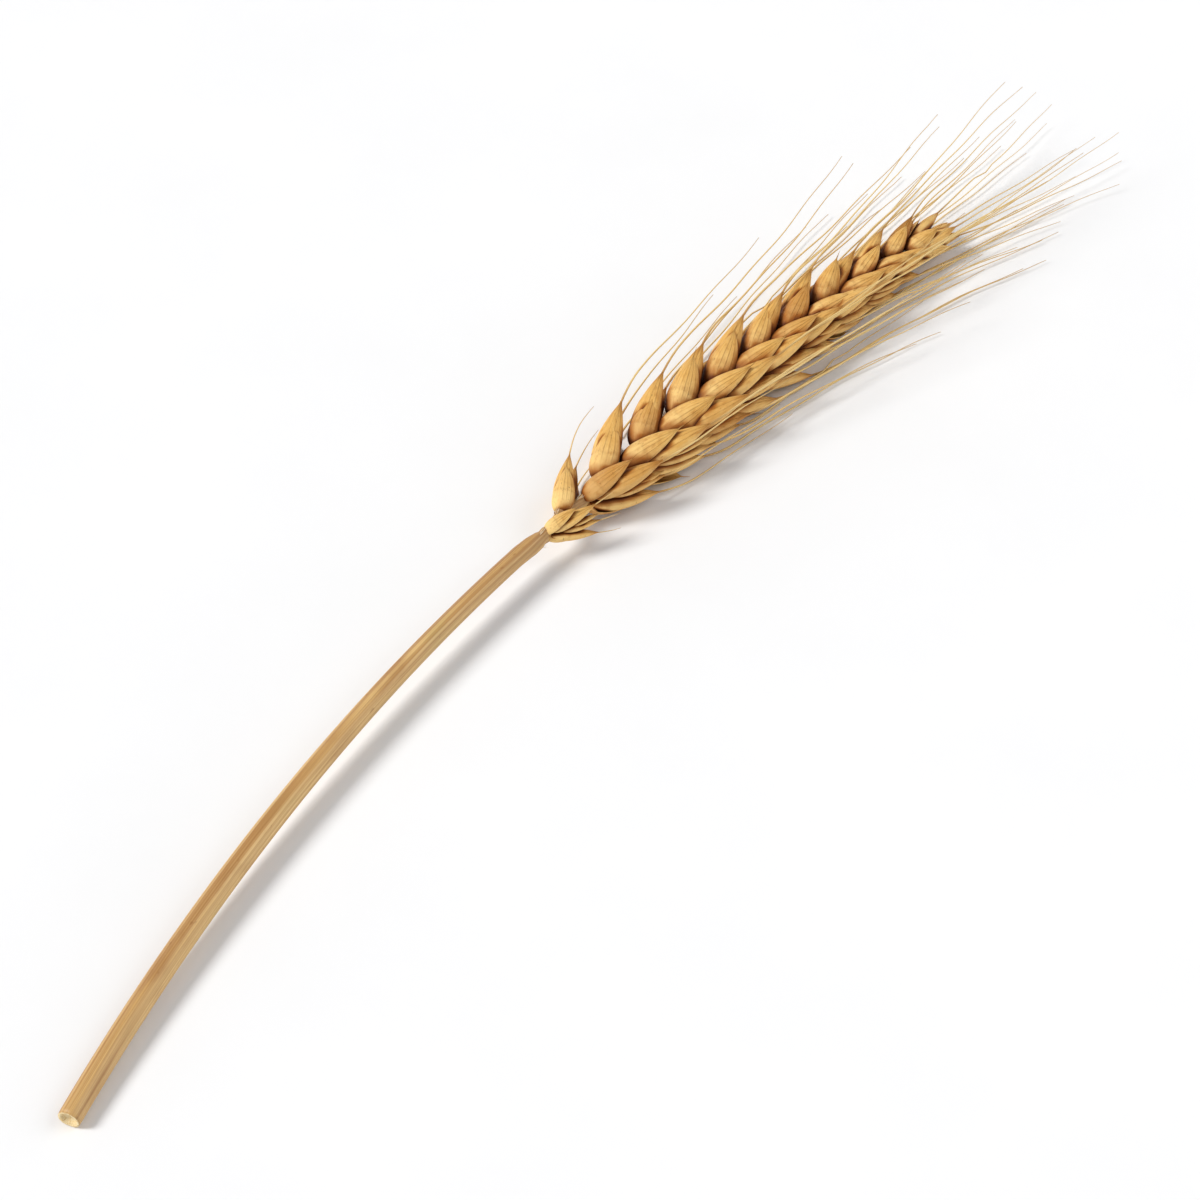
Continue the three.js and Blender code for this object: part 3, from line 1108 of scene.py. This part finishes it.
@dataclass
class Spikelet:
    """One spikelet: two glumes, its florets' lemmas and their awns."""

    name: str
    axis: StalkAxis
    awns: Awns
    forms: Sequence[HuskForm]
    size: float
    turn: float
    lean: float
    along: float
    seat: float
    awn_lengths: Sequence[float]
    draws: Draws
    incurve: float = 0.005
    shade_range: float = 0.5
    tone_range: float = 0.6
    awn_tone_range: float = 0.6
    awn_root: tuple[float, float] = (0.86, 0.99)

    def on_ear(self, form: HuskForm, pose: HuskPose, points: np.ndarray) -> np.ndarray:
        """Sets a husk's own points in the spikelet's seat on a straight ear.

        Args:
            form: The husk.
            pose: How this one differs.
            points: Points drawn along X with the husk's back to +Z.

        Returns:
            The points along, to the left of and above the ear's axis.
        """
        own = rotation(2, pose.swing * pose.swing_range) @ rotation(0, pose.roll * pose.roll_range)
        facing = (points @ own.T) * np.array([1, 1, form.side])
        tilt = math.radians(form.tilt) + pose.tilt * pose.tilt_range
        placed = facing @ rotation(1, -form.side * tilt).T
        placed = placed + np.array([form.along, 0, form.side * form.apart]) * self.size
        inward = self.incurve * np.clip(placed[..., 0], 0, None) ** 2
        placed = placed - np.stack([0 * inward, inward, 0 * inward], axis=-1)
        about = rotation(0, self.turn)
        seated = (placed @ rotation(2, self.lean).T + np.array([0, self.seat, 0])) @ about.T
        return seated + np.array([self.along, 0, 0])

    def grow(self) -> list[Grown]:
        """Grows the spikelet's husks and awns.

        Returns:
            Each of them on the table.
        """
        parts = []
        shade = self.shade_range * self.draws.next()
        lengths = list(self.awn_lengths)
        for form in self.forms:
            pose = HuskPose(*(self.draws.next() for _ in range(4)))
            points, across, along = form.grid(self.size, pose.warp)
            tone = max(-1.0, min(1.0, shade + self.tone_range * self.draws.next()))
            look = Look.GLUME if form.kind is HuskKind.GLUME else Look.LEMMA
            table = self.axis.to_table(self.on_ear(form, pose, points))
            parts.append(Grown(table, across, along, tone, look, form.side))
            if form.awn:
                middle = form.middle(np.array(self.awn_root), self.size, pose.warp)
                root, tip = self.on_ear(form, pose, middle)
                bow = [self.draws.next() for _ in range(3)]
                tube = self.awns.tube(root, tip, lengths.pop(0), self.size, bow)
                around = np.linspace(0, 1, self.awns.sides + 1)
                share = np.linspace(0, 1, len(tube))
                tone = self.awn_tone_range * self.draws.next()
                parts.append(Grown(self.axis.to_table(tube), around, share, tone, Look.AWN))
        return parts


@dataclass
class Stalk:
    """The straw, its collar and the zigzag rachis, grown in one piece, in millimetres.

    A profile pairs places with widths. The straw's are shares of its length, the collar's are collar
    lengths, a node's are millimetres, and the cut end's are depths of its dish.
    """

    axis: StalkAxis
    straw_radius: float = 1.4
    collar_length: float = 3.0
    rachis_length: float = 76.0
    rachis_stub: float = 2.0
    rachis_stub_radius: float = 0.05
    rachis_half_width: float = 1.05
    rachis_half_thickness: float = 0.6
    rachis_taper: float = 0.4
    node_crowding: float = 0.06
    zigzag: float = 0.45
    zigzag_rounding: float = 1.2
    spikelets: int = 21
    straw_profile: Profile = ((1, 1), (0.8, 1), (0.6, 0.98), (0.4, 0.94), (0.2, 0.89))
    collar_profile: Profile = ((2, 0.87), (1.25, 0.94), (1, 0.98), (0.75, 0.96), (0.5, 0.92))
    node_profile: Profile = ((-0.9, 1.04), (-0.15, 1.18), (0.7, 0.9))
    cut_profile: Profile = ((0.55, 0.02), (0.5, 0.3), (0.42, 0.55), (0.3, 0.66), (0.06, 0.72), (0.0, 0.97))
    flat_from: float = 2.0
    flat_to: float = 0.4
    ribs: int = 23
    rib_height: float = 0.012
    rib_wander: float = 1.5
    rib_wave: float = 31.0
    rib_unevenness: float = 0.8
    groove_height: float = 0.006
    groove_wander: float = 2.0
    groove_wave: float = 23.0
    texture_length: float = 100.0
    straw_rings: int = 150
    ear_rings: int = 460
    sides: int = 96

    def node(self, index: int) -> tuple[float, float, int]:
        """Gives a node of the rachis.

        Args:
            index: Its number from the foot of the ear, from 0.

        Returns:
            Its share of the ear, its place along the axis, and the side of its spikelet.
        """
        share = index / (self.spikelets - 1)
        spacing = 1 + self.node_crowding - self.node_crowding * share
        return share, self.rachis_length * share * spacing, 1 if index % 2 else -1

    def half_width(self, share: float) -> float:
        """Gives half the rachis's width at a share of the ear."""
        return self.rachis_half_width * (1 - self.rachis_taper * share)

    def girth(self, along: np.ndarray) -> np.ndarray:
        """Gives the stalk's radius, before the rachis is flattened.

        Args:
            along: Distances from the foot of the ear.

        Returns:
            The radii.
        """
        places = [-share * self.axis.straw_length for share, _width in self.straw_profile]
        places += [-share * self.collar_length for share, _width in self.collar_profile]
        widths = [self.straw_radius * width for _share, width in self.straw_profile + self.collar_profile]
        for index in range(self.spikelets):
            share, node, _side = self.node(index)
            places += [node + off for off, _width in self.node_profile]
            widths += [width * self.half_width(share) for _off, width in self.node_profile]
        places.append(self.rachis_length + self.rachis_stub)
        widths.append(self.rachis_stub_radius)
        return np.interp(along, places, widths)

    def bend(self, along: np.ndarray) -> np.ndarray:
        """Gives how far the rachis stands off the ear's axis, turning at each node.

        Args:
            along: Distances from the foot of the ear.

        Returns:
            The distances off the axis.
        """
        nodes = [self.node(index) for index in range(self.spikelets)]
        places = [place for _share, place, _side in nodes] + [self.rachis_length + self.rachis_stub]
        offsets = [self.zigzag * side for _share, _place, side in nodes] + [0.0]
        steps = np.linspace(-self.zigzag_rounding, self.zigzag_rounding, 9)
        return np.mean([np.interp(along + step, places, offsets) for step in steps], axis=0)

    def relief(self, along: np.ndarray, angle: np.ndarray) -> np.ndarray:
        """Gives the height of the stalk's ribs and of the fine grooves between them.

        Args:
            along: Distances from the foot of the ear.
            angle: Angles round the stalk.

        Returns:
            The heights, as shares of the radius.
        """
        wander = self.rib_wander * np.sin(along / self.rib_wave)
        rib = np.cos(self.ribs * angle + wander + self.rib_unevenness * np.sin(3 * angle))
        wander = self.groove_wander * np.sin(along / self.groove_wave + angle)
        groove = np.cos(2 * self.ribs * angle + wander)
        return self.rib_height * rib + self.groove_height * groove

    def build(self, straw: bpy.types.Material, cut: bpy.types.Material) -> bpy.types.Object:
        """Builds the stalk's piece.

        Args:
            straw: The straw's material.
            cut: The material of its cut face.

        Returns:
            The piece.
        """
        length, rim = self.axis.straw_length, len(self.cut_profile) - 1
        dish = np.array(self.cut_profile)
        top, end = -self.flat_from * self.collar_length, self.rachis_length + self.rachis_stub
        straw_reach = np.linspace(-length, top, self.straw_rings)[1:]
        ear_reach = np.linspace(top, end, self.ear_rings)[1:]
        reach = np.concatenate([dish[:, 0] - length, straw_reach, ear_reach])
        turn = np.linspace(0, 2 * math.pi, self.sides, endpoint=False)
        radius = self.girth(reach)
        radius[: rim + 1] = self.straw_radius * dish[:, 1]
        along, angle = reach[:, None], turn[None, :]
        grown = radius[:, None] * (1 + self.relief(along, angle) * (np.arange(len(reach)) >= rim)[:, None])
        flat = ease(along, top, self.flat_to * self.collar_length)
        thin = 1 + flat * (self.rachis_half_thickness / self.rachis_half_width - 1)
        left = grown * np.cos(angle) * thin + flat * self.bend(along)
        up = grown * np.sin(angle)
        twist = np.where(along > 0, self.axis.twist(along), self.axis.twist(0.0) * flat)
        straight = np.stack([
            np.broadcast_to(along, left.shape),
            left * np.cos(twist) - up * np.sin(twist),
            left * np.sin(twist) + up * np.cos(twist),
        ], axis=-1)
        slots = np.where(np.arange(len(reach) - 1) < rim, 1, 0)
        run = (reach + length) / self.texture_length
        skin = Skin()
        skin.add(self.axis.to_table(straight), np.linspace(0, 1, self.sides + 1), run, 0.0, slots)
        return skin.piece("stalk", (straw, cut))


@dataclass
class RachisHairs:
    """Short stiff hairs on the edges of the rachis under each spikelet, in millimetres.

    The lean says how far a hair runs on, away from the rachis's flat side and off its edge.
    """

    stalk: Stalk
    seed: int = 977
    each: int = 22
    length: float = 0.75
    radius: float = 0.03
    patch: float = 1.6
    scatter: float = 0.25
    edge: float = 0.92
    lean: tuple[float, float, float] = (0.8, 0.35, 0.75)
    lean_range: float = 0.3
    tip_bend: float = 0.12
    stations: tuple[float, float, float] = (0.0, 0.55, 1.0)
    girths: tuple[float, float, float] = (1.0, 0.7, 0.15)
    shades: tuple[float, float, float] = (0.0, 0.2, 0.4)
    tone: float = -0.8
    sides: int = 3

    def build(self, material: bpy.types.Material) -> bpy.types.Object:
        """Builds the hairs' piece.

        Args:
            material: Their material.

        Returns:
            The piece.
        """
        skin, draws = Skin(), Draws(self.seed)
        turn = np.linspace(0, 2 * math.pi, self.sides, endpoint=False)
        ring = np.stack([0 * turn, np.cos(turn), np.sin(turn)], axis=-1)
        girth = self.radius * np.array(self.girths)
        around = np.linspace(0, 1, self.sides + 1)
        onward, outward, edgeward = self.lean
        for index in range(self.stalk.spikelets):
            share, place, side = self.stalk.node(index)
            half = self.stalk.half_width(share)
            twist = rotation(0, self.stalk.axis.twist(place)).T
            for hair in range(self.each):
                edge = 1 if hair % 2 else -1
                foot = place - self.patch * abs(draws.next())
                off = float(self.stalk.bend(np.float64(foot)))
                root = np.array([foot, off + self.scatter * draws.next(), self.edge * edge * half])
                off_flat = outward * side + self.lean_range * draws.next()
                way = np.array([onward, off_flat, edgeward * edge])
                path = root + np.array(self.stations)[:, None] * way * self.length
                path[2, 0] += self.tip_bend
                tube = path[:, None, :] + girth[:, None, None] * ring[None]
                table = self.stalk.axis.to_table(tube @ twist)
                skin.add(table, around, np.array(self.shades), self.tone)
        return skin.piece("rachis_hairs", (material,))


@dataclass
class Ear:
    """All spikelets of the ear, laid out by the part's own draws."""

    stalk: Stalk
    awns: Awns
    seed: int = 4021
    looks_seed: int = 4038
    seat: float = 0.45
    foot_shrink: float = 0.42
    foot_share: float = 0.2
    tip_shrink: float = 0.36
    tip_share: float = 0.6
    foot_lean: float = 31.0
    tip_lean: float = 15.0
    beardless_spikelets: float = 0.3
    bearding_spikelets: float = 3.5
    shortest_beard: float = 0.08
    tip_beard_loss: float = 0.35
    size_range: float = 0.03
    lean_range: float = 2.0
    turn_range: float = 0.07
    awn_range: float = 0.14
    last_gap: float = 0.6
    last_size: float = 0.76
    last_beard: float = 0.65
    second_floret: float = 1.0
    # How much of the painted shade the glume's inner half keeps.
    inside_shade_scale: float = 0.35
    glume: HuskForm = HuskForm(
        HuskKind.GLUME,
        length=9.2,
        outer=Swell(0.45, 0.95, 1.85),
        inner=Swell(0.45, 0.8, 2.3),
        depth=Swell(0.45, 0.9),
        back=1.75,
        along=-0.3,
        apart=0.5,
        tilt=22.0,
        reach=1.16,
        keel=0.16,
        keel_gain=0.5,
        flare=0.6,
    )
    lemma: HuskForm = HuskForm(
        HuskKind.LEMMA,
        length=12.2,
        outer=Swell(0.55, 1.0, 1.9),
        inner=Swell(0.55, 1.0, 1.9),
        back=1.45,
        belly=1.25,
        along=0.3,
        apart=0.5,
        tilt=15.0,
        awn=48.0,
    )
    inner_lemma: HuskForm = HuskForm(
        HuskKind.LEMMA,
        length=9.8,
        outer=Swell(0.55, 1.0, 1.5),
        inner=Swell(0.55, 1.0, 1.5),
        back=0.9,
        belly=0.9,
        along=3.3,
        apart=0.05,
        tilt=2.0,
        awn=40.0,
    )
    last_lemma: HuskForm = HuskForm(
        HuskKind.LEMMA,
        length=7.6,
        outer=Swell(0.55, 1.0, 1.0),
        inner=Swell(0.55, 1.0, 1.0),
        back=0.6,
        belly=0.6,
        along=5.6,
        apart=0.3,
        tilt=5.0,
        side=-1,
    )

    def forms(self) -> list[HuskForm]:
        """Lists a spikelet's husks.

        Returns:
            Their forms from the outside in.
        """
        glumes = [self.glume, replace(self.glume, side=-1)]
        second = replace(self.lemma, side=-1, along=self.second_floret)
        return glumes + [self.lemma, second, self.inner_lemma, self.last_lemma]

    def fullness(self, share: float) -> float:
        """Gives a spikelet's size, which is less at the foot and the tip of the ear.

        Args:
            share: The spikelet's share of the ear.

        Returns:
            Its size, as a share of the fullest.
        """
        foot = max(0.0, 1 - share / self.foot_share)
        tip = max(0.0, (share - (1 - self.tip_share)) / self.tip_share)
        return (1 - self.foot_shrink * foot**2) * (1 - self.tip_shrink * tip**2)

    def bearded(self, index: int, share: float) -> float:
        """Gives how long a spikelet's awns are, as a share of the longest.

        Args:
            index: The spikelet's number from the foot of the ear, from 0.
            share: Its share of the ear.

        Returns:
            The share of the longest awns.
        """
        grown = (index - self.beardless_spikelets) / self.bearding_spikelets
        return min(1.0, max(self.shortest_beard, grown)) * (1 - self.tip_beard_loss * share)

    def spikelets(self) -> list[Spikelet]:
        """Lays out the spikelets.

        Returns:
            The spikelets from the foot of the ear to its tip.
        """
        draws, looks = Draws(self.seed), Draws(self.looks_seed)
        axis, forms = self.stalk.axis, self.forms()
        bristles = [form.awn for form in forms if form.awn]
        leaning = self.foot_lean - self.tip_lean
        rows = []
        for index in range(self.stalk.spikelets):
            share, along, side = self.stalk.node(index)
            size = self.fullness(share) * (1 + self.size_range * draws.next())
            lean = math.radians(self.foot_lean - leaning * share + self.lean_range * draws.next())
            turn = axis.twist(along) + (math.pi if side < 0 else 0) + self.turn_range * draws.next()
            beard = self.bearded(index, share)
            lengths = [awn * beard * (1 + self.awn_range * draws.next()) for awn in bristles]
            common = (f"spikelet_{index + 1:02d}", axis, self.awns, forms, size, turn, lean, along)
            rows.append(Spikelet(*common, self.seat, lengths, looks))
        along = self.stalk.rachis_length + self.last_gap
        turn = axis.twist(along) + math.pi / 2
        common = ("spikelet_tip", axis, self.awns, forms, self.last_size, turn, 0.0, along)
        rows.append(Spikelet(*common, 0.0, [self.last_beard * awn for awn in bristles], looks))
        return rows

    def build(self, materials: Sequence[bpy.types.Material]) -> list[bpy.types.Object]:
        """Builds a piece for each spikelet.

        Args:
            materials: The materials of the glumes, lemmas and awns.

        Returns:
            The pieces from the foot of the ear to its tip.
        """
        grown = {spikelet.name: spikelet.grow() for spikelet in self.spikelets()}
        # The blocked share of sky over each husk point becomes painted shade in its colour.
        crowd = Crowd([part for parts in grown.values() for part in parts if part.look is not Look.AWN])
        pieces = []
        for name, parts in grown.items():
            skin = Skin()
            for part in parts:
                # Husks carry painted shade, awns none, and the glume's inner half keeps less of it.
                depth = 0.0 if part.look is Look.AWN else crowd.over(part)
                if part.look is Look.GLUME:
                    depth[:, depth.shape[1] // 2 :] *= self.inside_shade_scale
                mirrored = part.side < 0
                skin.add(part.points, part.across, part.along, part.tone, part.look.value, mirrored, depth)
            pieces.append(skin.piece(name, materials))
        return pieces


@dataclass(frozen=True)
class Lamp:
    """A soft light that is the same all over the floor.

    Its way leads from the ear to the light, and its softness is how wide it is in the sky, in degrees.
    """

    name: str
    way: tuple[float, float, float]
    strength: float
    softness: float
    colour: Colour

    def build(self) -> None:
        """Adds the light."""
        way = Vector(self.way)
        data = bpy.data.lights.new(self.name, "SUN")
        data.energy, data.angle, data.color = self.strength, math.radians(self.softness), self.colour[:3]
        lamp = bpy.data.objects.new(self.name, data)
        lamp.location = way
        lamp.rotation_euler = (-way).to_track_quat("-Z", "Y").to_euler()
        bpy.context.scene.collection.objects.link(lamp)


@dataclass(frozen=True)
class Studio:
    """The pale floor, soft lights and the camera that looks down on the ear, in metres and degrees."""

    target: tuple[float, float, float] = (-0.0104, -0.0087, 0.003)
    azimuth: float = -48.0
    elevation: float = 47.0
    distance: float = 0.432
    lens: float = 100.0
    nearest: float = 0.01
    farthest: float = 20.0
    middle_radii: tuple[float, float] = (0.02, 0.7)
    flat_radius: float = 1.4
    curve: float = 1.0
    curve_end: float = 85.0
    curve_rings: int = 12
    sides: int = 64
    sky: float = 0.36
    sky_colour: Colour = srgb(252, 252, 252)
    key: Lamp = Lamp("key", (-0.45, 0.35, 0.55), 2.6, 20.0, srgb(255, 253, 250))
    fill: Lamp = Lamp("fill", (0.45, -0.4, 0.5), 0.68, 40.0, srgb(255, 255, 255))

    def backdrop(self) -> None:
        """Builds the floor, which curves up into a pale wall all round."""
        bend = np.radians(np.linspace(0, self.curve_end, self.curve_rings))
        reach = np.concatenate([self.middle_radii, self.flat_radius + self.curve * np.sin(bend)])
        rise = np.concatenate([[0.0, 0.0], self.curve * (1 - np.cos(bend))])
        turn = np.linspace(0, 2 * math.pi, self.sides, endpoint=False)
        rings = [[(r * math.cos(t), r * math.sin(t), z) for t in turn] for r, z in zip(reach, rise)]
        faces = [list(range(self.sides))]
        for ring in range(len(rings) - 1):
            near, far = ring * self.sides, (ring + 1) * self.sides
            for side in range(self.sides):
                after = (side + 1) % self.sides
                faces.append([near + side, far + side, far + after, near + after])
        mesh = bpy.data.meshes.new("floor")
        mesh.from_pydata([point for ring in rings for point in ring], [], faces)
        mesh.polygons.foreach_set("use_smooth", np.ones(len(mesh.polygons), dtype=bool))
        mesh.materials.append(FloorFinish("pale_floor").material())
        floor = bpy.data.objects.new("floor", mesh)
        floor.visible_shadow = False
        bpy.context.scene.collection.objects.link(floor)

    def lights(self) -> None:
        """Builds the sky and the two lights."""
        world = bpy.data.worlds.new("studio")
        world.use_nodes = True
        sky = world.node_tree.nodes["Background"].inputs
        sky["Color"].default_value = self.sky_colour
        sky["Strength"].default_value = self.sky
        bpy.context.scene.world = world
        bpy.context.scene.view_settings.view_transform = "Standard"
        self.key.build()
        self.fill.build()

    def camera(self) -> None:
        """Builds the camera."""
        turn, rise = math.radians(self.azimuth), math.radians(self.elevation)
        level = math.cos(rise)
        away = Vector((math.sin(turn) * level, -math.cos(turn) * level, math.sin(rise)))
        data = bpy.data.cameras.new("camera")
        data.lens = self.lens
        data.clip_start, data.clip_end = self.nearest, self.farthest
        camera = bpy.data.objects.new("camera", data)
        camera.location = Vector(self.target) + away * self.distance
        camera.rotation_euler = (-away).to_track_quat("-Z", "Y").to_euler()
        bpy.context.scene.collection.objects.link(camera)
        bpy.context.scene.camera = camera

    def build(self) -> None:
        """Builds the backdrop, the lights and the camera."""
        self.backdrop()
        self.lights()
        self.camera()


def main() -> None:
    """Builds the ear's pieces and the studio, and logs how many faces each piece has."""
    logging.basicConfig(level=logging.INFO, format="%(name)s: %(message)s")
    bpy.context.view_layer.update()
    axis = StalkAxis()
    stalk = Stalk(axis)
    pieces = [stalk.build(StrawFinish("ripe_straw").material(), CutFinish("cut_straw").material())]
    hair = AwnFinish("rachis_hair", pale=srgb(252, 240, 214), gold=srgb(244, 224, 182)).material()
    pieces.append(RachisHairs(stalk).build(hair))
    glume = HuskFinish("glume_husk").material()
    lemma = HuskFinish("lemma_husk", nerves=5.0, line=-1.0).material()
    awn = AwnFinish("awn_bristle").material()
    pieces += Ear(stalk, Awns(axis)).build((glume, lemma, awn))
    for piece in pieces:
        LOG.info("%s: %d faces", piece.name, len(piece.data.polygons))
    Studio().build()


if __name__ == "__main__":
    main()
